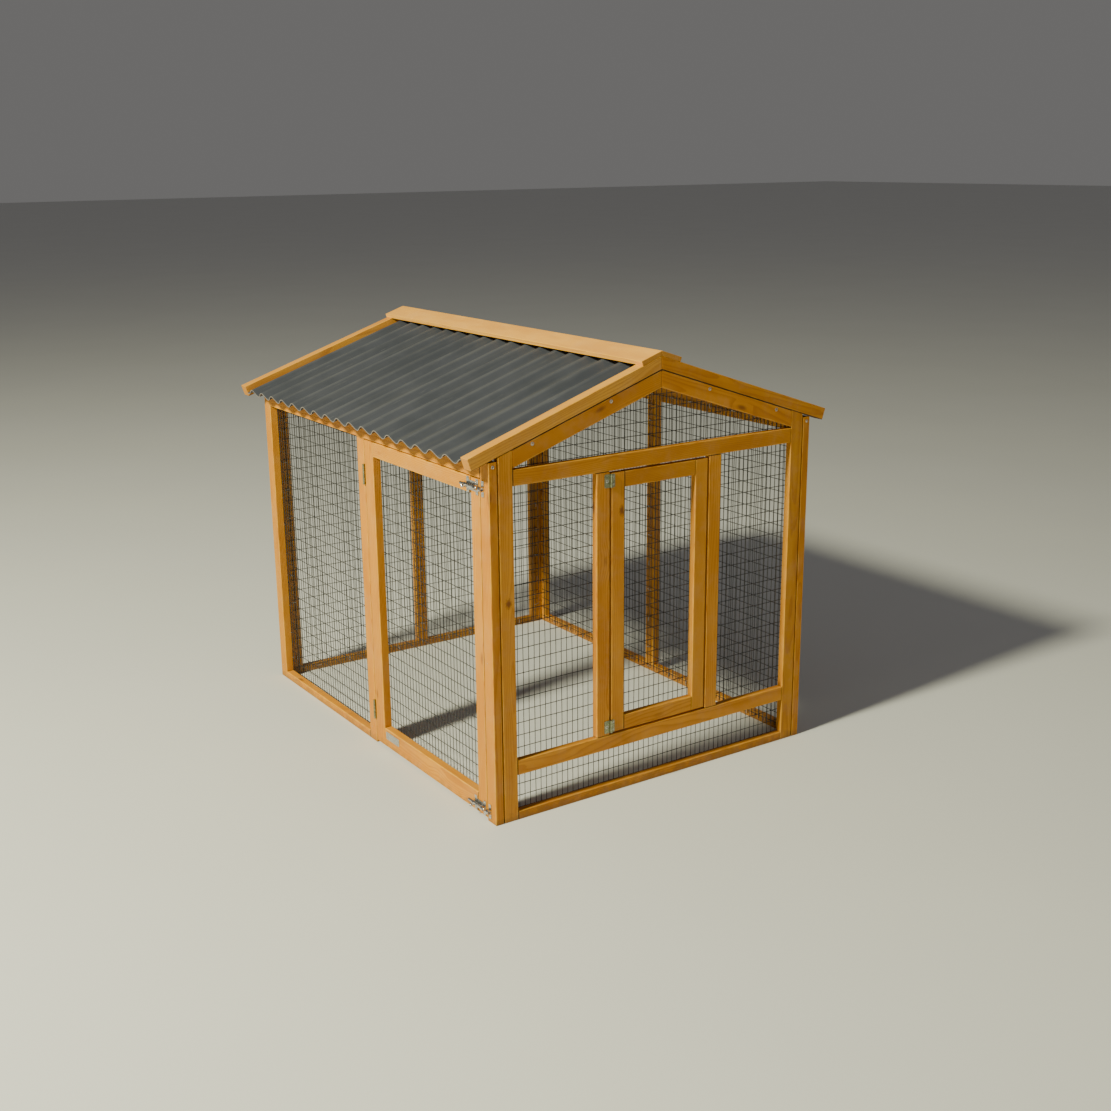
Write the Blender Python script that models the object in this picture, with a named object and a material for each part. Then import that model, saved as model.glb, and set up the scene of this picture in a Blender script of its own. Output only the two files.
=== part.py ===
"""Rabbit hutch: a small gabled run of welded wire panels on softwood sticks.

The ridge runs along Y, the front gable with its small door faces -Y, and the large side door is
in the -X wall. The hutch has no floor. The origin is on the ground, in the middle of its box.
Every length is in metres.
"""

import math

import bmesh
import bpy
from mathutils import Matrix, Vector

# Overall sizes
GABLE_WIDTH = 0.750  # a gable frame, which stands between the two side walls
WALL_LENGTH = 1.025  # a side wall, from the front of its front post to the back of its rear post
WALL_RISE = 0.728  # ground to roof plane at the outer edge of a gable frame
ROOF_PITCH = math.radians(18.6)

# Sticks
STICK_WIDTH = 0.031
GABLE_DEPTH = 0.015  # front to back, in the gables and the front door
SIDE_DEPTH = 0.018  # outside to inside, in the side walls and the side door
RAFTER_WIDTH = 0.033
BASE_HEIGHT = 0.018
HINGE_STILE_WIDTH = 0.038
DOOR_KICK_HEIGHT = 0.042  # the side door's bottom rail
CHAMFER = 0.0010

# Cross rails of the front gable
TIE_DROP = 0.027  # the tie rail's top below WALL_RISE
LOWER_RAIL_TOP = 0.125

# Doors
SIDE_DOOR_WIDTH = 0.4685
SIDE_DOOR_DROP = 0.044  # its top below WALL_RISE
SIDE_DOOR_LIFT = 0.006
SIDE_DOOR_GAP = 0.0024
FRONT_DOORWAY_WIDTH = 0.248
FRONT_DOOR_GAP = 0.0045

# Roof, flush with the front gable
REAR_OVERHANG = 0.029
EAVE_OVERHANG = 0.057  # a gable frame's outer edge to the foot of the barge board's cut end
BARGE_WIDTH = 0.025
BARGE_DEPTH = 0.024
CAP_WIDTH = 0.049
CAP_THICKNESS = 0.0095
WAVE_PITCH = 0.057
WAVE_HEIGHT = 0.0125
SHEET_THICKNESS = 0.0015
POINTS_PER_WAVE = 12
SHEET_SIDE_GAP = 0.001
SHEET_RIDGE_GAP = 0.004
SHEET_LIFT = 0.0065  # the troughs above the roof plane, where they rest on the top rails

# Wire panels
MESH_THICKNESS = 0.001
MESH_LAP = 0.020  # how far a panel runs onto the stick behind which it is stapled

# Hinges
HINGE_HEIGHT = 0.0265
FRAME_LEAF_WIDTH = 0.0125
DOOR_LEAF_WIDTH = 0.0065
HINGE_LEAF = 0.0009
LEAF_CORNER = 0.0025
CORNER_STEPS = 3
BARREL_RADIUS = 0.0026
PIN_RADIUS = 0.0012
PIN_CLEARANCE = 0.0002
KNUCKLE_GAP = 0.0003
WEB_REACH = 1.2  # a knuckle's web, over the way from the pin to its leaf
HINGE_INSET = 0.001  # a front hinge's end from the end of its door
SIDE_HINGE_HEIGHT = 0.044
SIDE_HINGE_INSET = 0.052
SIDE_LEAF_SHARE = 0.7  # of the depth of the stile it is screwed to

# Barrel bolts
BOLT_PLATE_LENGTH = 0.042
BOLT_PLATE_HEIGHT = 0.030  # at the tabs, which take the screws
BOLT_WAIST_HEIGHT = 0.019
BOLT_TAB_LENGTH = 0.009
BOLT_PLATE = 0.0012
ROD_RADIUS = 0.0030
ROD_LENGTH = 0.059
ROD_CLEARANCE = 0.0003
GUIDE_LENGTH = 0.007
GUIDE_WALL = 0.0015
GUIDE_INSET = 0.001
ARCH_STEPS = 8
KEEPER_LENGTH = 0.009
KEEPER_INSET = 0.016  # the keeper's far end from the front of the front post
KNOB_RADIUS = 0.0034
KNOB_STEM_RADIUS = 0.0020
KNOB_REACH = 0.011
LOWER_BOLT_HEIGHT = 0.024

# Clearances
FIT = 0.0003  # between pieces that touch
SIDE_GAP = 0.0025  # between a gable frame and a side wall
POST_TOP_GAP = 0.0011  # between a barge board and the square top of an end post under it

# Places that follow from the sizes
SLOPE = math.tan(ROOF_PITCH)
HALF_GABLE = GABLE_WIDTH / 2
SIDE_INNER = HALF_GABLE + SIDE_GAP
SIDE_OUTER = SIDE_INNER + SIDE_DEPTH
POST_DROP = (SIDE_OUTER - HALF_GABLE) * SLOPE + POST_TOP_GAP  # an end post's top below WALL_RISE
HINGE_PROUD = FIT + 2 * BARREL_RADIUS
ROOF_LENGTH = WALL_LENGTH + REAR_OVERHANG
FRONT = -(ROOF_LENGTH - HINGE_PROUD) / 2
REAR = FRONT + WALL_LENGTH
RAFTER_DROP = RAFTER_WIDTH / math.cos(ROOF_PITCH)
TIE_TOP = WALL_RISE - TIE_DROP
TIE_BOTTOM = TIE_TOP - STICK_WIDTH
LOWER_RAIL_BOTTOM = LOWER_RAIL_TOP - STICK_WIDTH
SIDE_DOOR_TOP = WALL_RISE - SIDE_DOOR_DROP
SIDE_RAIL_BOTTOM = SIDE_DOOR_TOP + SIDE_DOOR_GAP
DOOR_FRONT = FRONT + STICK_WIDTH + SIDE_DOOR_GAP
DOOR_REAR = DOOR_FRONT + SIDE_DOOR_WIDTH
MIDDLE_POST_FRONT = DOOR_REAR + SIDE_DOOR_GAP
HALF_DOORWAY = FRONT_DOORWAY_WIDTH / 2
HALF_DOOR = HALF_DOORWAY - FRONT_DOOR_GAP
FRONT_DOOR_BOTTOM = LOWER_RAIL_TOP + FRONT_DOOR_GAP
FRONT_DOOR_TOP = TIE_BOTTOM - FRONT_DOOR_GAP
SHEET_RISE = SHEET_LIFT + WAVE_HEIGHT / 2 + SHEET_THICKNESS / 2  # roof plane to the sheet's middle

MATERIALS = {
    "wood": ((0.62, 0.33, 0.10), 0.60, 0.0),
    "roof_sheet": ((0.085, 0.087, 0.090), 0.55, 0.0),
    "wire": ((0.05, 0.05, 0.05), 0.45, 0.0),
    "zinc": ((0.60, 0.62, 0.60), 0.35, 1.0),
}


def clear_scene():
    for thing in list(bpy.data.objects):
        bpy.data.objects.remove(thing, do_unlink=True)


def material(name):
    """The Principled material of that finish, made on first use."""
    found = bpy.data.materials.get(name)
    if found:
        return found
    colour, roughness, metallic = MATERIALS[name]
    made = bpy.data.materials.new(name)
    made.use_nodes = True
    shader = made.node_tree.nodes["Principled BSDF"]
    shader.inputs["Base Color"].default_value = (*colour, 1.0)
    shader.inputs["Roughness"].default_value = roughness
    shader.inputs["Metallic"].default_value = metallic
    made.diffuse_color = (*colour, 1.0)
    return made


def empty(name, place):
    made = bpy.data.objects.new(name, None)
    made.empty_display_size = 0.02
    made.location = place
    bpy.context.scene.collection.objects.link(made)
    return made


def finish_object(name, bm, finish, parent=None, place=(0, 0, 0)):
    """Puts a mesh, given about its own place, into the scene and under its parent empty."""
    bmesh.ops.recalc_face_normals(bm, faces=bm.faces)
    mesh = bpy.data.meshes.new(name)
    bm.to_mesh(mesh)
    bm.free()
    made = bpy.data.objects.new(name, mesh)
    bpy.context.scene.collection.objects.link(made)
    made.location = Vector(place) - (parent.location if parent else Vector())
    made.parent = parent
    mesh.materials.append(material(finish))
    return made


def chamfer(thing, width=CHAMFER):
    """Breaks the arrises of a stick."""
    bevel = thing.modifiers.new("chamfer", "BEVEL")
    bevel.width = width
    bevel.segments = 1
    bevel.limit_method = "ANGLE"


def prism(name, outline, along, start, end, finish="wood", parent=None, edge=CHAMFER):
    """A closed outline carried along X, Y or Z. It is given in the other two axes, in X, Y, Z order."""
    axis = "XYZ".index(along)
    bm = bmesh.new()
    corners = []
    for first, second in outline:
        point = [first, second]
        point.insert(axis, start)
        corners.append(Vector(point))
    step = Vector((0, 0, 0))
    step[axis] = end - start
    middle = sum(corners, Vector()) / len(corners) + step / 2
    face = bm.faces.new([bm.verts.new(corner - middle) for corner in corners])
    pushed = bmesh.ops.extrude_face_region(bm, geom=[face])["geom"]
    moved = [part for part in pushed if isinstance(part, bmesh.types.BMVert)]
    bmesh.ops.translate(bm, verts=moved, vec=step)
    made = finish_object(name, bm, finish, parent, middle)
    if edge:
        chamfer(made, edge)
    return made


def stick(name, x, y, z, finish="wood", parent=None, edge=CHAMFER):
    """A straight piece between two X, two Y and two Z values."""
    outline = [(x[0], y[0]), (x[1], y[0]), (x[1], y[1]), (x[0], y[1])]
    return prism(name, outline, "Z", z[0], z[1], finish, parent, edge)


def cylinder(name, centre, along, radius, length, finish="zinc", parent=None, sides=16):
    bm = bmesh.new()
    turn = {"X": Matrix.Rotation(math.pi / 2, 4, "Y"), "Y": Matrix.Rotation(math.pi / 2, 4, "X")}
    bmesh.ops.create_cone(
        bm,
        cap_ends=True,
        segments=sides,
        radius1=radius,
        radius2=radius,
        depth=length,
        matrix=turn.get(along, Matrix.Identity(4)),
    )
    return finish_object(name, bm, finish, parent, centre)


def combine(base, other, operation):
    """Joins another solid to base, or cuts it away, and keeps it as a hidden helper."""
    step = base.modifiers.new(operation.lower(), "BOOLEAN")
    step.operation = operation
    step.solver = "EXACT"
    step.object = other
    other.hide_render = True
    other.display_type = "WIRE"


def smooth(thing):
    thing.data.shade_smooth()
    thing.data.set_sharp_from_angle(angle=math.radians(40))


def roof_z(x):
    """Height of the roof plane, on which the barge boards lie, at a distance from the ridge."""
    return WALL_RISE + (HALF_GABLE - abs(x)) * SLOPE


def slope_point(side, run, rise):
    """X and Z of a point down one slope: its run from the ridge, and its rise off the roof plane."""
    x = run * math.cos(ROOF_PITCH) + rise * math.sin(ROOF_PITCH)
    z = roof_z(0) - run * math.sin(ROOF_PITCH) + rise * math.cos(ROOF_PITCH)
    return side * x, z


def under_roof(x_from, x_to, bottom, lift=0.0):
    """Outline of an upright piece whose top is cut to the slope, just under the roof plane or lift above."""
    return [
        (x_from, bottom),
        (x_to, bottom),
        (x_to, roof_z(x_to) + lift - FIT),
        (x_from, roof_z(x_from) + lift - FIT),
    ]


def gable_frame(prefix, y_outer, inward):
    """The two stiles and the two rafters of a gable, whose outer face is at y_outer."""
    y_inner = y_outer + inward * GABLE_DEPTH
    for label, side in (("left", -1), ("right", 1)):
        outer = side * HALF_GABLE
        inner = side * (HALF_GABLE - STICK_WIDTH)
        prism(f"{prefix}_{label}_stile", under_roof(outer, inner, 0), "Y", y_outer, y_inner)
        foot = inner - side * FIT
        apex = side * FIT / 2
        rafter = [
            (foot, roof_z(foot) - FIT),
            (apex, roof_z(apex) - FIT),
            (apex, roof_z(apex) - RAFTER_DROP),
            (foot, roof_z(foot) - RAFTER_DROP),
        ]
        prism(f"{prefix}_{label}_rafter", rafter, "Y", y_outer, y_inner)
    return sorted((y_outer, y_inner))


def gable_panel(name, y_frame, inward):
    """A wire panel in the outline of a gable, stapled to the inside of its frame."""
    near = y_frame + inward * (GABLE_DEPTH + FIT)
    half = HALF_GABLE - STICK_WIDTH + MESH_LAP
    drop = RAFTER_DROP - MESH_LAP / math.cos(ROOF_PITCH)
    outline = [
        (-half, BASE_HEIGHT - FIT - MESH_LAP / 2),
        (half, BASE_HEIGHT - FIT - MESH_LAP / 2),
        (half, roof_z(half) - drop),
        (0, roof_z(0) - drop),
        (-half, roof_z(half) - drop),
    ]
    return prism(name, outline, "Y", near, near + inward * MESH_THICKNESS, "wire", edge=0)


def front_gable():
    y = gable_frame("front", FRONT, 1)
    reach = HALF_GABLE - STICK_WIDTH - FIT
    rails = (
        ("front_tie_rail", TIE_BOTTOM, TIE_TOP),
        ("front_lower_rail", LOWER_RAIL_BOTTOM, LOWER_RAIL_TOP),
        ("front_base_rail", 0, BASE_HEIGHT),
    )
    for name, low, high in rails:
        stick(name, (-reach, reach), y, (low, high))
    for label, side in (("left", -1), ("right", 1)):
        x = sorted((side * HALF_DOORWAY, side * (HALF_DOORWAY + STICK_WIDTH)))
        stick(f"front_{label}_mullion", x, y, (LOWER_RAIL_TOP + FIT, TIE_BOTTOM - FIT))
    panel = gable_panel("front_mesh", FRONT, 1)
    hole = stick(
        "front_doorway_cutter",
        (-HALF_DOORWAY - STICK_WIDTH / 4, HALF_DOORWAY + STICK_WIDTH / 4),
        (FRONT, FRONT + 3 * GABLE_DEPTH),
        (LOWER_RAIL_TOP - STICK_WIDTH / 4, TIE_BOTTOM + STICK_WIDTH / 4),
        edge=0,
    )
    combine(panel, hole, "DIFFERENCE")


def rear_gable():
    y = gable_frame("rear", REAR, -1)
    reach = HALF_GABLE - STICK_WIDTH - FIT
    stick("rear_base_rail", (-reach, reach), y, (0, BASE_HEIGHT))
    half = STICK_WIDTH / 2
    top = roof_z(0) - RAFTER_DROP - FIT
    post = [
        (-half, BASE_HEIGHT + FIT),
        (half, BASE_HEIGHT + FIT),
        (half, top - half * SLOPE),
        (0, top),
        (-half, top - half * SLOPE),
    ]
    prism("rear_middle_post", post, "Y", y[0], y[1])
    gable_panel("rear_mesh", REAR, -1)


def side_wall(label, side, middle_front, bays):
    """Posts, top rail, base rail and wire of a side wall. bays are the closed ones, front to rear."""
    x = sorted((side * SIDE_INNER, side * SIDE_OUTER))
    posts = (
        ("rear", REAR - STICK_WIDTH),
        ("front", FRONT),
    )
    for where, start in posts:
        stick(f"{label}_{where}_post", x, (start, start + STICK_WIDTH), (0, WALL_RISE - POST_DROP))
    front_end = FRONT + STICK_WIDTH + FIT
    rear_end = REAR - STICK_WIDTH - FIT
    outline = under_roof(side * SIDE_INNER, side * SIDE_OUTER, SIDE_RAIL_BOTTOM, SHEET_LIFT)
    prism(f"{label}_top_rail", outline, "Y", front_end, rear_end)
    middle = (middle_front, middle_front + STICK_WIDTH)
    closed_front = front_end if "front" in bays else middle[1] + FIT
    middle_foot = BASE_HEIGHT + FIT if "front" in bays else 0
    stick(f"{label}_middle_post", x, middle, (middle_foot, SIDE_RAIL_BOTTOM - FIT))
    stick(f"{label}_base_rail", x, (closed_front, rear_end), (0, BASE_HEIGHT))
    near = side * (SIDE_INNER - FIT)
    stick(
        f"{label}_mesh",
        sorted((near, near - side * MESH_THICKNESS)),
        (closed_front - MESH_LAP / 2, rear_end + MESH_LAP / 2),
        (BASE_HEIGHT - MESH_LAP / 2, SIDE_RAIL_BOTTOM + MESH_LAP),
        "wire",
        edge=0,
    )


def side_door():
    """The framed door of the -X wall. It turns on the post at its rear edge."""
    pivot = (-SIDE_OUTER - FIT - BARREL_RADIUS, DOOR_REAR + SIDE_DOOR_GAP / 2, 0)
    swing = empty("side_door_axis", pivot)
    x = (-SIDE_OUTER, -SIDE_INNER)
    z = (SIDE_DOOR_LIFT, SIDE_DOOR_TOP)
    latch_inner = DOOR_FRONT + STICK_WIDTH
    hinge_inner = DOOR_REAR - HINGE_STILE_WIDTH
    stick("side_door_latch_stile", x, (DOOR_FRONT, latch_inner), z, parent=swing)
    stick("side_door_hinge_stile", x, (hinge_inner, DOOR_REAR), z, parent=swing)
    y = (latch_inner + FIT, hinge_inner - FIT)
    kick_top = SIDE_DOOR_LIFT + DOOR_KICK_HEIGHT
    rails = (
        ("side_door_top_rail", SIDE_DOOR_TOP - STICK_WIDTH, SIDE_DOOR_TOP),
        ("side_door_bottom_rail", SIDE_DOOR_LIFT, kick_top),
    )
    for name, low, high in rails:
        stick(name, x, y, (low, high), parent=swing)
    near = -SIDE_INNER + FIT
    stick(
        "side_door_mesh",
        (near, near + MESH_THICKNESS),
        (latch_inner - MESH_LAP, hinge_inner + MESH_LAP),
        (kick_top - MESH_LAP, SIDE_DOOR_TOP - STICK_WIDTH + MESH_LAP),
        "wire",
        swing,
        0,
    )
    heights = (
        ("lower", SIDE_DOOR_LIFT + SIDE_HINGE_INSET),
        ("upper", SIDE_DOOR_TOP - SIDE_HINGE_INSET - SIDE_HINGE_HEIGHT),
    )
    leaf_x = (FIT + BARREL_RADIUS, FIT + BARREL_RADIUS + SIDE_DEPTH * SIDE_LEAF_SHARE)
    leaf_y = sorted((FIT / 2, FIT / 2 + HINGE_LEAF))
    for where, low in heights:
        axis = Vector(pivot) + Vector((0, 0, low))
        post_leaf = (leaf_x, leaf_y)
        door_leaf = (leaf_x, [-leaf_y[1], -leaf_y[0]])
        hinge(f"side_hinge_{where}", axis, SIDE_HINGE_HEIGHT, post_leaf, door_leaf, swing)
    bolts = (
        ("upper", SIDE_DOOR_TOP - STICK_WIDTH / 2),
        ("lower", LOWER_BOLT_HEIGHT),
    )
    for where, height in bolts:
        barrel_bolt(where, height, swing)


def front_door():
    """The small framed door between the front gable's mullions. It turns on the left one."""
    pivot = (-HALF_DOORWAY + FRONT_DOOR_GAP / 2, FRONT - FIT - BARREL_RADIUS, 0)
    swing = empty("front_door_axis", pivot)
    y = (FRONT, FRONT + GABLE_DEPTH)
    z = (FRONT_DOOR_BOTTOM, FRONT_DOOR_TOP)
    inner = HALF_DOOR - STICK_WIDTH
    stick("front_door_hinge_stile", (-HALF_DOOR, -inner), y, z, parent=swing)
    stick("front_door_free_stile", (inner, HALF_DOOR), y, z, parent=swing)
    rails = (
        ("front_door_top_rail", FRONT_DOOR_TOP - STICK_WIDTH, FRONT_DOOR_TOP),
        ("front_door_bottom_rail", FRONT_DOOR_BOTTOM, FRONT_DOOR_BOTTOM + STICK_WIDTH),
    )
    for name, low, high in rails:
        stick(name, (-inner + FIT, inner - FIT), y, (low, high), parent=swing)
    near = FRONT + GABLE_DEPTH + FIT
    stick(
        "front_door_mesh",
        (-inner - MESH_LAP, inner + MESH_LAP),
        (near, near + MESH_THICKNESS),
        (z[0] + STICK_WIDTH - MESH_LAP, z[1] - STICK_WIDTH + MESH_LAP),
        "wire",
        swing,
        0,
    )
    near = BARREL_RADIUS + KNUCKLE_GAP
    leaf_y = (BARREL_RADIUS - HINGE_LEAF, BARREL_RADIUS)
    for where, low in (("lower", z[0] + HINGE_INSET), ("upper", z[1] - HINGE_INSET - HINGE_HEIGHT)):
        axis = Vector(pivot) + Vector((0, 0, low))
        frame_leaf = ((-near - FRAME_LEAF_WIDTH, -near), leaf_y)
        door_leaf = ((near, near + DOOR_LEAF_WIDTH), leaf_y)
        hinge(f"front_hinge_{where}", axis, HINGE_HEIGHT, frame_leaf, door_leaf, swing)


def hinge(prefix, axis, height, fixed, moving, swing):
    """A butt hinge: the fixed leaf has the two outer knuckles and the pin, the moving leaf the middle one.

    axis is the foot of the pin. A leaf is its X and Y ranges from the axis.
    """
    third = height / 3
    bands = {"frame": ((0, third), (2 * third, height)), "door": ((third, 2 * third),)}
    for leaf, (x, y) in (("frame", fixed), ("door", moving)):
        parent = swing if leaf == "door" else None
        name = f"{prefix}_{leaf}_leaf"
        plate_y = [axis.y + value for value in y]
        near, far = x if x[0] > 0 else (x[1], x[0])
        outline = leaf_outline(axis.x + near, axis.x + far, axis.z, axis.z + height)
        base = prism(name, outline, "Y", plate_y[0], plate_y[1], "zinc", parent, 0)
        web_x = sorted((axis.x, axis.x + near * WEB_REACH))
        for number, (low, high) in enumerate(bands[leaf]):
            low += KNUCKLE_GAP / 2
            high -= KNUCKLE_GAP / 2
            span = (axis.z + low, axis.z + high)
            web = stick(f"{name}_web_{number}", web_x, plate_y, span, "zinc", parent, 0)
            combine(base, web, "UNION")
            centre = (axis.x, axis.y, (span[0] + span[1]) / 2)
            barrel = cylinder(
                f"{name}_barrel_{number}", centre, "Z", BARREL_RADIUS, high - low, parent=parent
            )
            combine(base, barrel, "UNION")
        centre = (axis.x, axis.y, axis.z + height / 2)
        if leaf == "frame":
            length = height - KNUCKLE_GAP
            pin = cylinder(f"{name}_pin", centre, "Z", PIN_RADIUS, length)
            combine(base, pin, "UNION")
        else:
            bore = cylinder(
                f"{name}_bore", centre, "Z", PIN_RADIUS + PIN_CLEARANCE, height, parent=parent
            )
            combine(base, bore, "DIFFERENCE")


def leaf_outline(near, far, low, high):
    """A hinge leaf in X and Z, from its straight edge at near to its two rounded corners at far."""
    centre = far - math.copysign(LEAF_CORNER, far - near)
    points = [(near, low)]
    for height, first in ((low + LEAF_CORNER, -math.pi / 2), (high - LEAF_CORNER, 0)):
        for step in range(CORNER_STEPS + 1):
            angle = first + math.pi / 2 * step / CORNER_STEPS
            across = math.copysign(LEAF_CORNER * math.cos(angle), far - near)
            points.append((centre + across, height + LEAF_CORNER * math.sin(angle)))
    points.append((near, high))
    return points


def guide_outline(x_wall, z):
    """The arch of a bolt's guide, in X and Z, standing on a plate whose outer face is at x_wall."""
    radius = ROD_RADIUS + ROD_CLEARANCE + GUIDE_WALL
    x_axis = x_wall - ROD_CLEARANCE - ROD_RADIUS - GUIDE_WALL / 2
    foot = x_wall + BOLT_PLATE / 2
    points = [(foot, z - radius)]
    for step in range(ARCH_STEPS + 1):
        angle = math.pi * step / ARCH_STEPS
        points.append((x_axis - radius * math.sin(angle), z - radius * math.cos(angle)))
    points.append((foot, z + radius))
    return points, x_axis


def plate_outline(y, height):
    """A bolt's plate in Y and Z: a full-height tab at each end, and between them a waist if it has room."""
    half = BOLT_PLATE_HEIGHT / 2
    waist = BOLT_WAIST_HEIGHT / 2
    tabs = (y[0] + BOLT_TAB_LENGTH, y[1] - BOLT_TAB_LENGTH)
    lower = [(y[0], -half), (y[1], -half)]
    if tabs[0] < tabs[1]:
        lower[1:1] = [(tabs[0], -half), (tabs[0], -waist), (tabs[1], -waist), (tabs[1], -half)]
    upper = [(place, -low) for place, low in reversed(lower)]
    return [(place, height + rise) for place, rise in lower + upper]


def bolt_bracket(name, y, height, guides, parent):
    """A plate on the outer face, with a guide round the rod at each of the given Y ranges."""
    face = -SIDE_OUTER - FIT
    plate = prism(name, plate_outline(y, height), "X", face - BOLT_PLATE, face, "zinc", parent, 0)
    outline, x_axis = guide_outline(face - BOLT_PLATE, height)
    for number, (start, end) in enumerate(guides):
        arch = prism(f"{name}_guide_{number}", outline, "Y", start, end, "zinc", parent, 0)
        combine(plate, arch, "UNION")
    centre = (x_axis, (y[0] + y[1]) / 2, height)
    length = 2 * (y[1] - y[0])
    bore = cylinder(
        f"{name}_bore", centre, "Y", ROD_RADIUS + ROD_CLEARANCE, length, parent=parent
    )
    combine(plate, bore, "DIFFERENCE")
    return x_axis


def barrel_bolt(where, height, swing):
    """Plate and rod on the door's latch stile, and the keeper on the front post, drawn back."""
    plate_front = DOOR_FRONT + SIDE_DOOR_GAP
    plate_rear = plate_front + BOLT_PLATE_LENGTH
    guides = (
        (plate_front + GUIDE_INSET, plate_front + GUIDE_INSET + GUIDE_LENGTH),
        (plate_rear - GUIDE_INSET - GUIDE_LENGTH, plate_rear - GUIDE_INSET),
    )
    name = f"{where}_bolt"
    y = (plate_front, plate_rear)
    x_axis = bolt_bracket(f"{name}_plate", y, height, guides, swing)
    keeper = (FRONT + KEEPER_INSET, FRONT + KEEPER_INSET + KEEPER_LENGTH)
    bolt_bracket(f"{name}_keeper", keeper, height, [keeper], None)
    tip = DOOR_FRONT + SIDE_DOOR_GAP / 2
    rest = empty(f"{name}_axis", (x_axis, tip, height))
    rest.location -= swing.location
    rest.parent = swing
    bpy.context.view_layer.update()
    knob_y = guides[1][0] - FIT - KNOB_STEM_RADIUS
    bm = bmesh.new()
    turn = Matrix.Rotation(math.pi / 2, 4, "X")
    middle = Matrix.Translation((0, ROD_LENGTH / 2, 0))
    bmesh.ops.create_cone(
        bm,
        cap_ends=True,
        segments=16,
        radius1=ROD_RADIUS,
        radius2=ROD_RADIUS,
        depth=ROD_LENGTH,
        matrix=middle @ turn,
    )
    rod = finish_object(f"{name}_rod", bm, "zinc")
    rod.parent = rest
    stem_x = x_axis - KNOB_REACH / 2
    stem = cylinder(
        f"{name}_stem", (stem_x, knob_y, height), "X", KNOB_STEM_RADIUS, KNOB_REACH, sides=12
    )
    ball_mesh = bmesh.new()
    bmesh.ops.create_uvsphere(ball_mesh, u_segments=12, v_segments=8, radius=KNOB_RADIUS)
    place = (x_axis - KNOB_REACH, knob_y, height)
    ball = finish_object(f"{name}_ball", ball_mesh, "zinc", None, place)
    combine(rod, stem, "UNION")
    combine(rod, ball, "UNION")


def barge_boards():
    ends = (("front", FRONT), ("rear", FRONT + ROOF_LENGTH - BARGE_DEPTH))
    run = (HALF_GABLE + EAVE_OVERHANG) / math.cos(ROOF_PITCH)
    for where, y in ends:
        for label, side in (("left", -1), ("right", 1)):
            top = roof_z(0) + BARGE_WIDTH / math.cos(ROOF_PITCH)
            apex = side * FIT / 2
            outline = [
                (apex, roof_z(0)),
                slope_point(side, run, 0),
                slope_point(side, run, BARGE_WIDTH),
                (apex, top),
            ]
            prism(f"{where}_{label}_barge_board", outline, "Y", y, y + BARGE_DEPTH)


def ridge_cap():
    low = BARGE_WIDTH + FIT
    high = low + CAP_THICKNESS
    run = CAP_WIDTH - low * SLOPE
    outline = [
        slope_point(-1, run, low),
        (0, roof_z(0) + low / math.cos(ROOF_PITCH)),
        slope_point(1, run, low),
        slope_point(1, run, high),
        (0, roof_z(0) + high / math.cos(ROOF_PITCH)),
        slope_point(-1, run, high),
    ]
    prism("ridge_cap", outline, "Y", FRONT, FRONT + ROOF_LENGTH)


def roof_sheet(label, side):
    """A thin sheet whose section is a cosine along Y, laid down one slope between the barge boards."""
    start = FRONT + BARGE_DEPTH + SHEET_SIDE_GAP
    end = FRONT + ROOF_LENGTH - BARGE_DEPTH - SHEET_SIDE_GAP
    count = round((end - start) / WAVE_PITCH * POINTS_PER_WAVE)
    top = []
    under = []
    for step in range(count + 1):
        y = start + (end - start) * step / count
        phase = 2 * math.pi * (y - start) / WAVE_PITCH
        rise = SHEET_RISE + WAVE_HEIGHT / 2 * math.cos(phase)
        top.append((y, rise + SHEET_THICKNESS / 2))
        under.append((y, rise - SHEET_THICKNESS / 2))
    run = (HALF_GABLE + EAVE_OVERHANG) / math.cos(ROOF_PITCH)
    bm = bmesh.new()
    rings = []
    for distance in (SHEET_RIDGE_GAP + SHEET_RISE * 2 * SLOPE, run):
        rows = []
        for line in (top, under):
            row = []
            for y, rise in line:
                x, z = slope_point(side, distance, rise)
                row.append(bm.verts.new((x, y, z)))
            rows.append(row)
        rings.append(rows)
    (ridge_top, ridge_under), (eave_top, eave_under) = rings
    for step in range(count):
        following = step + 1
        pairs = (
            (ridge_top, eave_top),
            (ridge_under, eave_under),
            (ridge_top, ridge_under),
            (eave_top, eave_under),
        )
        for first, second in pairs:
            bm.faces.new((first[step], first[following], second[following], second[step]))
    for step in (0, count):
        bm.faces.new((ridge_top[step], eave_top[step], eave_under[step], ridge_under[step]))
    made = finish_object(f"{label}_roof_sheet", bm, "roof_sheet")
    smooth(made)


def main():
    clear_scene()
    side_wall("left", -1, MIDDLE_POST_FRONT, ("rear",))
    side_wall("right", 1, MIDDLE_POST_FRONT, ("front", "rear"))
    side_door()
    front_gable()
    front_door()
    rear_gable()
    barge_boards()
    ridge_cap()
    roof_sheet("left", -1)
    roof_sheet("right", 1)


main()
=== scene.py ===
"""The looks of a rabbit hutch: stained pine, welded wire, a corrugated roof and zinc fittings.

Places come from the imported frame. The ridge runs along Y, the front gable faces -Y and the side door
is in the -X wall. Every length is in metres.
"""

import math

import bpy
import numpy as np
from mathutils import Matrix, Vector


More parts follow.
